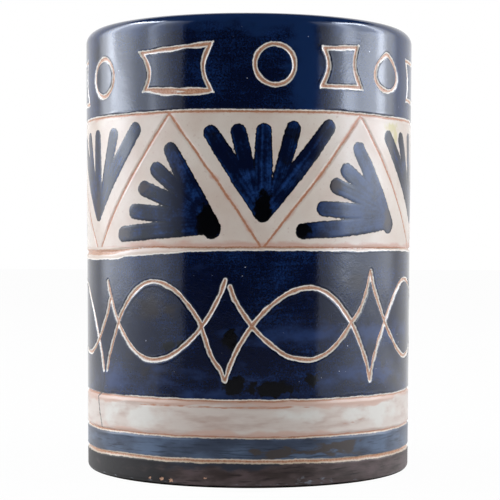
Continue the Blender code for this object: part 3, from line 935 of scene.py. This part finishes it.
def wave_drawn(across, along, sizes):
    """Two interlaced lines, under a line that is smeared on the left and over the band's lower line."""
    waves, half, fields = scratched_lines(across, along, wave_paths(), sizes, seed=33)
    x, y = drawn_by_hand(across, along)
    bed = FAN_BED + SMEAR * sector(across, *SMEAR_ANGLES)
    droop = sum((depth * sector(across, *angles) for depth, *angles in LEFT_DROOPS), start=DROOP)
    upper, lower = np.abs(fan_line(across) - y), y - WAVE_LINE
    fields["bed"] = np.minimum.reduce([fields["bed"], upper - bed, lower - WAVE_BED])
    fields["coat"] = np.minimum.reduce([fields["coat"], FAN_LINE - y - droop, lower - WAVE_SLIP])
    fields["thin"] = np.full(across.shape, FAR)
    fields["run"] = spots(x, y, RUNS)
    fields["crack"] = path_distance(x, y, unrolled(CRACK))
    low_cloud = CLOUDY + CLEARING * smooth(y, *CLEARING_HEIGHTS)
    fields["mottle"] = np.minimum(low_cloud, spots(x, y, CLOUDS))
    fields["brown"] = spots(x, y, BROWNED)
    relief = groove(np.minimum.reduce([waves, upper, lower]), half, sizes.line_depth / MM)
    return relief + RUN_HEIGHT * smooth(-fields["run"], *RUN_EDGE), fields


def lower_slip_drawn(across, along, sizes):
    """Border lines, a fainter second line under the upper one, and the crack."""
    x, y = drawn_by_hand(across, along)
    angle = shortest(across) / ARC
    half, cut, second_drop, thin_above, thin_below = 0.9, 0.15, 2.2, 2, 1.3
    faint, fainter, faint_right, faint_left = 0.1, 0.4, (14, 30), (34, 44)
    second_edge, crack_edge = (0.1, 0.9), (0.1, 0.5)
    border = np.minimum(WAVE_LINE - y, y - STRIPE_LINE)
    fading = faint + fainter * smooth(angle, *faint_right) + fainter * smooth(-angle, *faint_left)
    second = np.abs(y - (WAVE_LINE - second_drop)) + fading
    crack = path_distance(x, y, unrolled(CRACK))
    fields = {
        "bed": np.minimum(border, second) - FOOT_BED,
        "thin": np.minimum(WAVE_LINE - y - thin_above, y - STRIPE_LINE - thin_below),
        "thick": spots(x, y, THICK_SLIP),
        "crack": crack,
    }
    cuts = (1 - smooth(second, *second_edge)) + (1 - smooth(crack, *crack_edge))
    return groove(border, half, sizes.line_depth / MM) - cut * cuts, fields


def stripe_drawn(across, along, sizes):
    """Border lines and rust."""
    x, y = drawn_by_hand(across, along)
    upper, lower = STRIPE_LINE - y, y - foot_line(across)
    fields = {
        "bed": np.minimum(upper - STRIPE_BED, lower - FOOT_BED),
        "coat": np.minimum(upper - STRIPE_SLIP, lower - FOOT_SLIP),
        "rust": spots(x, y, RUST),
    }
    return groove(np.minimum(upper, lower), FOOT_HALF, sizes.line_depth / MM), fields


def foot_drawn(across, along, sizes):
    """A border line, chips, and scuffs low on the right and along the ledge on which the foot stands."""
    x, y = drawn_by_hand(across, along)
    chip_depth, chip_edge = 0.3, (-0.2, 0.3)
    scuff_angles, scuff_heights = (12, 18, 26, 36), (-5, -3)
    ledge_height, ledge_edge, painted_shadow_height = 1.3, (-0.6, -0.1), 0.75
    unrubbed, rubbing = 1.6, 1.9
    blue_fall, blue_angles = 4, (-4, 20)
    pale, darkening, dark_angles = 1.2, 2.4, (-100, -70, -36, -16)
    border = foot_line(across) - y
    chip = spots(x, y, [(angle, height, size, CHIP_FLAT * size) for angle, height, size in CHIPS])
    scuffed = sector(across, *scuff_angles) * smooth(-y, *scuff_heights)
    ledge = smooth(-np.abs(along - ledge_height), *ledge_edge)
    fields = {
        "bed": border - FOOT_BED,
        "coat": border - FOOT_SLIP,
        "blue": border - FOOT_SLIP + blue_fall * smooth(shortest(across) / ARC, *blue_angles),
        "chip": chip,
        "rub": unrubbed - rubbing * np.maximum(scuffed, ledge),
        # Below this height the foot's edge takes the painted shadow.
        "under": along - painted_shadow_height,
        "dark": pale - darkening * sector(across, *dark_angles),
    }
    relief = groove(border, FOOT_HALF, sizes.line_depth / MM) - chip_depth * smooth(-chip, *chip_edge)
    return relief, fields


# Operators.

def numbered(kind, things):
    """Names of like nodes of the frame, one for each thing."""
    return [f"{kind}_{number}" for number in range(1, len(things) + 1)]


class VASE_OT_clay(bpy.types.Operator):
    """Gives the clay wall its finish and makes the turned base disc"""

    bl_idname = "vase.clay"
    bl_label = "Clay body"

    def execute(self, context):
        clay = fired_clay(context.scene.vase.colours)
        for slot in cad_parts["clay_wall"].material_slots:
            slot.material = clay
        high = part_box("clay_base_disc")[1] / MM
        bevel, lower, upper, turns, steps, columns = 1, 2.4, 4, 9, 40, 180
        share = np.linspace(0, 1, steps)
        rings = RING_DEPTH * (1 - np.cos(math.tau * turns * share)) * smooth(1 - share, 0, 0.1)
        under = np.stack([(high.x - bevel) * share, rings], axis=1)
        side = [(high.x, lower), (high.x, upper), (INSIDE, upper), (INSIDE, high.z), (0, high.z)]
        profile = np.concatenate([under, side])
        turned_piece("base_disc", profile, columns, clay, ["clay_base_disc"])
        return {"FINISHED"}


class VASE_OT_inside(bpy.types.Operator):
    """Makes the clear glaze that lines the inside"""

    bl_idname = "vase.inside"
    bl_label = "Inside glaze"

    def execute(self, context):
        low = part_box("inside_glaze")[0].z / MM
        thick, corner, ring_length, columns = 0.8, 3, 5, 240
        wall_steps, bend_steps, floor_steps = 40, 10, 20
        floor, top = low + thick, HEIGHT - LIP_INNER
        turn = np.linspace(0, math.pi / 2, bend_steps)
        height = np.linspace(top, floor + corner, wall_steps)
        wall = np.stack([INSIDE + RING_DEPTH * (1 - np.cos(height / ring_length)), height], axis=1)
        bend = np.stack([INSIDE - corner * (1 - np.cos(turn)), floor + corner * (1 - np.sin(turn))], axis=1)
        inward = np.linspace(bend[-1, 0], 0, floor_steps)[1:]
        back = [(0, low), (INSIDE + thick, low), (INSIDE + thick, top)]
        flat = np.stack([inward, np.full_like(inward, floor)], axis=1)
        profile = np.concatenate([wall, bend[1:], flat, back])
        off_axis = profile[:, 0] > 1
        profile[:, 0] += np.where(off_axis, TAPER * (profile[:, 1] - HEIGHT / 2), 0)
        glaze = clear_glaze_on_clay()
        turned_piece("inside_lining", profile, columns, glaze, ["inside_glaze"])
        return {"FINISHED"}


class VASE_OT_rim_band(bpy.types.Operator):
    """Makes the blue coat over the lip, with its scratched circles and panels"""

    bl_idname = "vase.rim_band"
    bl_label = "Rim band"

    def execute(self, context):
        nodes = ["rim_glaze", *numbered("rim_circle", CIRCLES), *numbered("rim_panel", PANELS)]
        coat_piece("rim_band", (RIM_LINE, LIP_END), rim_drawn, cobalt_glaze, nodes)
        return {"FINISHED"}


class VASE_OT_fan_band(bpy.types.Operator):
    """Makes the white band with its zigzag lines and brushed fans"""

    bl_idname = "vase.fan_band"
    bl_label = "Fan band"

    def execute(self, context):
        nodes = []
        for kind in ("slip_triangle", "brush_fan"):
            nodes += numbered(f"{kind}_hanging", VALLEYS) + numbered(f"{kind}_standing", VALLEYS)
        coat_piece("fan_band", (FAN_LINE, RIM_LINE), fan_drawn, slip_with_brushwork, nodes)
        return {"FINISHED"}


class VASE_OT_wave_band(bpy.types.Operator):
    """Makes the blue band with its two interlaced scratched lines"""

    bl_idname = "vase.wave_band"
    bl_label = "Wave band"

    def execute(self, context):
        nodes = ["wave_field_upper", "wave_field_lower"]
        nodes += numbered("wave_diamond", CUSPS) + numbered("wave_oval", CUSPS)
        coat_piece("wave_band", (WAVE_LINE, FAN_LINE), wave_drawn, cobalt_glaze, nodes)
        return {"FINISHED"}


class VASE_OT_foot_bands(bpy.types.Operator):
    """Makes the narrow white band, the blue stripe and the dark foot"""

    bl_idname = "vase.foot_bands"
    bl_label = "Foot bands"

    def execute(self, context):
        slip, stripe, foot = (STRIPE_LINE, WAVE_LINE), (FOOT_LINE, STRIPE_LINE), (FOOT_END, FOOT_LINE)
        coat_piece("lower_slip_band", slip, lower_slip_drawn, worn_slip, ["slip_band_lower"])
        coat_piece("stripe_band", stripe, stripe_drawn, washed_cobalt, ["foot_stripe"])
        coat_piece("dark_foot_band", foot, foot_drawn, dry_iron_glaze, ["foot_band"])
        return {"FINISHED"}


class VASE_OT_stage(bpy.types.Operator):
    """Sets up the floor, the studio light and the camera"""

    bl_idname = "vase.stage"
    bl_label = "Stage"

    def execute(self, context):
        settings = context.scene.vase.stage
        context.scene.view_settings.view_transform = "Standard"
        white_room(context.scene, settings)
        pale_floor()
        dark_end_of_room()
        softboxes(settings)
        aimed_camera(context.scene, settings)
        return {"FINISHED"}


# Stage. Lengths are metres.

FLOOR_HALF = 6
FLOOR_GLOW = 0.97  # share by which the floor shows as pure white
ROOM_LEFT, ROOM_RIGHT, ROOM_FRONT, ROOM_BACK, ROOM_TOP = -1.05, 1.17, -1.05, 1.2, 1.5
# Edges of the table mat, from the camera to the vase: left, right, and how far back.
MAT_EDGES = (
    (ROOM_LEFT, ROOM_RIGHT, ROOM_FRONT), (-0.5, 0.58, -0.54), (-0.36, 0.2, -0.21), (-0.11, 0.06, -0.07),
)
MAT_HEIGHT = 1 * MM
SENSOR_WIDTH = 36  # millimetres
CAMERA_ASIDE, CAMERA_HEIGHT = 0.0006, 0.08353
CAMERA_ROLL = -0.15  # degrees


def seen_directly(tree):
    """1 for rays from the camera, mirrors or glass, 0 for light that is scattered."""
    path = add(tree, "LightPath").node.outputs
    either = add(tree, "Math", (path["Is Camera Ray"], path["Is Glossy Ray"]), operation="MAXIMUM")
    return add(tree, "Math", (either, path["Is Transmission Ray"]), operation="MAXIMUM")


def white_room(scene, settings):
    """A white surround, which lights the vase less than it shows."""
    world = bpy.data.worlds.new("white_room")
    world.use_nodes = True
    tree = world.node_tree
    strength = add(tree, "MapRange", (seen_directly(tree), 0.0, 1.0, settings.ambient, 1.0))
    fill(tree, tree.nodes["Background"], {"Color": "#FFFFFF", "Strength": strength})
    scene.world = world


def sheet(name, points, material):
    """A stage sheet: a strip of faces between pairs of points."""
    faces = [(start, start + 1, start + 3, start + 2) for start in range(0, len(points) - 2, 2)]
    mesh = bpy.data.meshes.new(name)
    mesh.from_pydata(points, [], faces)
    mesh.materials.append(material)
    made = bpy.data.objects.new(name, mesh)
    bpy.context.scene.collection.objects.link(made)
    return made


def pale_floor():
    """A wide white floor that keeps a light shadow of the vase."""
    material, tree = new_finish("white_floor")
    fill(tree, tree.nodes[SHADER], {"Base Color": "#EDEDED", "Roughness": 0.9})
    glow = add(tree, "Emission", {"Color": "#FFFFFF", "Strength": 1})
    share = add(tree, "Math", (seen_directly(tree), FLOOR_GLOW), operation="MULTIPLY")
    mixed = add(tree, "MixShader", (share, tree.nodes[SHADER].outputs[0], glow))
    fill(tree, tree.nodes["Material Output"], {"Surface": mixed})
    ends = (-FLOOR_HALF, FLOOR_HALF)
    sheet("floor", [(across, forward, 0) for forward in ends for across in ends], material)


def dark_end_of_room():
    """The unlit end of the studio and a grey mat, which show only as reflections on the vase."""
    edges = ((ROOM_FRONT, 0), (ROOM_FRONT, ROOM_TOP), (ROOM_BACK, ROOM_TOP))
    wall = [(across, forward, up) for forward, up in edges for across in (ROOM_LEFT, ROOM_RIGHT)]
    mat = [(across, forward, MAT_HEIGHT) for *sides, forward in MAT_EDGES for across in sides]
    sheets = (("unlit_room", "unlit_room", wall, "#110F0E"), ("table_mat", "grey_table_mat", mat, "#6E6A66"))
    for name, finish, points, code in sheets:
        material, tree = new_finish(finish)
        fill(tree, tree.nodes[SHADER], {"Base Color": code, "Roughness": 1})
        made = sheet(name, points, material)
        made.visible_camera = made.visible_diffuse = made.visible_shadow = False


class Lamp(NamedTuple):
    """An area lamp beside the vase. A level of 1 is the softbox setting."""

    name: str
    side: int  # -1 on the left, 1 on the right
    front: float
    back: float
    low: float
    high: float
    front_level: float
    back_level: float
    low_level: float  # at its lower edge, as a share
    fades: tuple  # lengths over which it fades out at the front and at the back
    lights: bool = False  # whether it lights the vase too, or only shines in its glaze
    climb: float = 0  # how much higher its back end is
    flat: bool = False  # whether it lies on the floor: then low and high are how far out it starts and ends


LAMPS = (
    Lamp("left_softbox", -1, -0.92, 0.82, 0.02, 1.36, 0.65, 1.4, 0.6, (0.42, 0.42), lights=True),
    Lamp("left_top_edge", -1, -0.24, 0.6, 1.16, 1.42, 5.4, 5.4, 1, (0.1, 0.08)),
    Lamp("left_back_edge", -1, 0.22, 0.5, 0.25, 1.4, 1, 1, 1, (0.1, 0.14)),
    Lamp("left_front_edge", -1, -0.54, -0.32, 0.16, 1.3, 1, 1, 0.6, (0.1, 0.1)),
    Lamp("left_low_edge", -1, -0.16, 0.4, 0.17, 0.25, 1.4, 1.4, 1, (0.12, 0.1), climb=0.12),
    Lamp("left_floor_shine", -1, -0.32, 0.35, 0.25, 1, 0.22, 0.22, 0.2, (0.36, 0.24), flat=True),
    Lamp("right_softbox", 1, -0.84, 0.72, 0.02, 1.04, 1.06, 1.02, 0.6, (0.42, 0.42), lights=True),
    Lamp("right_top_edge", 1, -0.38, 0.36, 0.98, 1.2, 5.2, 5.2, 1, (0.1, 0.08)),
    Lamp("right_front_edge", 1, -0.5, -0.18, 0.16, 1.04, 1.2, 1.2, 1, (0.12, 0.14)),
    Lamp("right_back_edge", 1, 0.1, 0.34, 0.21, 1.04, 1.5, 1.5, 1, (0.08, 0.1)),
    Lamp("right_low_edge", 1, -0.5, 0.3, 0.1, 0.29, 1, 1, 1, (0.1, 0.1), climb=0.1),
    Lamp("right_floor_shine", 1, -0.36, 0.32, 0.25, 1, 0.34, 0.34, 0.2, (0.2, 0.16), flat=True),
)
LAMP_ASIDE = 1.05  # from the axis of the vase to the first lamp
LAMP_STEP = 0.005  # by which each lamp stands in front of the last, so that no two share a plane
LAMP_COLOUR = linear("#F5F9FF")[:3]
RISE = 0.26  # over which a lamp brightens from its lower edge
CHANGE = (-0.26, 0.08)  # from front to back, where the front level gives way to the back one


def lamp_strength(tree, lamp, height):
    """Strength over the face of a lamp: levels along it, dimmer at its lower edge and faded at its ends."""
    spot = add(tree, "NewGeometry", out="Parametric")
    across = add(tree, "SeparateXYZ", (spot,), out="X")
    upward = add(tree, "SeparateXYZ", (spot,), out="Y")
    ends = (lamp.front, lamp.back) if lamp.side > 0 else (lamp.back, lamp.front)
    backward = add(tree, "MapRange", (across, 0, 1, *ends))
    strength = 1.0
    for share in (
        (upward, 0, RISE / height, lamp.low_level, 1),
        (backward, *CHANGE, lamp.front_level, lamp.back_level),
        (backward, lamp.front, lamp.front + lamp.fades[0]),
        (backward, lamp.back, lamp.back - lamp.fades[1]),
    ):
        part = add(tree, "MapRange", share, interpolation_type="SMOOTHSTEP")
        strength = add(tree, "Math", (strength, part), operation="MULTIPLY")
    return strength


def softboxes(settings):
    """Softboxes beside the vase, dimmer towards the floor and their ends, with brighter edges."""
    for place, lamp in enumerate(LAMPS):
        length, height = lamp.back - lamp.front, lamp.high - lamp.low
        light = bpy.data.lights.new(lamp.name, "AREA")
        light.shape = "RECTANGLE"
        light.color = LAMP_COLOUR
        light.size, light.size_y = length, height
        light.energy = settings.softbox * length * height * math.pi
        light.use_nodes = True
        tree = light.node_tree
        fill(tree, tree.nodes["Emission"], {"Strength": lamp_strength(tree, lamp, height)})
        made = bpy.data.objects.new(lamp.name, light)
        aside, up = LAMP_ASIDE - LAMP_STEP * place, (lamp.low + lamp.high) / 2
        if lamp.flat:
            aside, up = up, LAMP_STEP
        made.location = (lamp.side * aside, (lamp.front + lamp.back) / 2, up)
        upright = Euler((math.pi / 2, 0, lamp.side * math.pi / 2)).to_matrix()
        lean = Matrix.Rotation(lamp.side * math.atan(lamp.climb / length), 3, "Z")
        lying = Matrix.Rotation(math.pi / 2 if lamp.flat else 0, 3, "X")
        made.rotation_euler = (upright @ lean @ lying).to_euler()
        made.visible_camera = False
        made.visible_diffuse = lamp.lights
        bpy.context.scene.collection.objects.link(made)


def aimed_camera(scene, settings):
    """A camera in front of the vase, at half its height, that looks level and is rolled a little."""
    camera = bpy.data.cameras.new("camera")
    camera.lens = settings.lens
    camera.sensor_width = SENSOR_WIDTH
    made = bpy.data.objects.new("camera", camera)
    made.location = (CAMERA_ASIDE, -settings.distance, CAMERA_HEIGHT)
    made.rotation_euler = (math.pi / 2, math.radians(CAMERA_ROLL), 0)
    scene.collection.objects.link(made)
    scene.camera = made


class VASE_PT_panel(bpy.types.Panel):
    """Settings and steps of the vase, in the sidebar of the 3D view"""

    bl_idname = "VASE_PT_panel"
    bl_label = "Vase"
    bl_space_type = "VIEW_3D"
    bl_region_type = "UI"
    bl_category = "Vase"

    def draw(self, context):
        looks = context.scene.vase
        for group in (looks.sizes, looks.colours, looks.stage):
            box = self.layout.box()
            for name in group.bl_rna.properties.keys():
                if name not in ("rna_type", "name"):
                    box.prop(group, name)
        for operator in OPERATORS:
            self.layout.operator(operator.bl_idname)


OPERATORS = (
    VASE_OT_clay, VASE_OT_inside, VASE_OT_rim_band, VASE_OT_fan_band, VASE_OT_wave_band, VASE_OT_foot_bands,
    VASE_OT_stage,
)
CLASSES = (VaseSizes, VaseColours, VaseStage, VaseLooks, *OPERATORS, VASE_PT_panel)


def register():
    for kind in CLASSES:
        bpy.utils.register_class(kind)
    bpy.types.Scene.vase = PointerProperty(type=VaseLooks)


def unregister():
    del bpy.types.Scene.vase
    for kind in reversed(CLASSES):
        bpy.utils.unregister_class(kind)


def main():
    register()
    bpy.ops.vase.clay()
    bpy.ops.vase.inside()
    bpy.ops.vase.rim_band()
    bpy.ops.vase.fan_band()
    bpy.ops.vase.wave_band()
    bpy.ops.vase.foot_bands()
    bpy.ops.vase.stage()


if __name__ == "__main__":
    main()
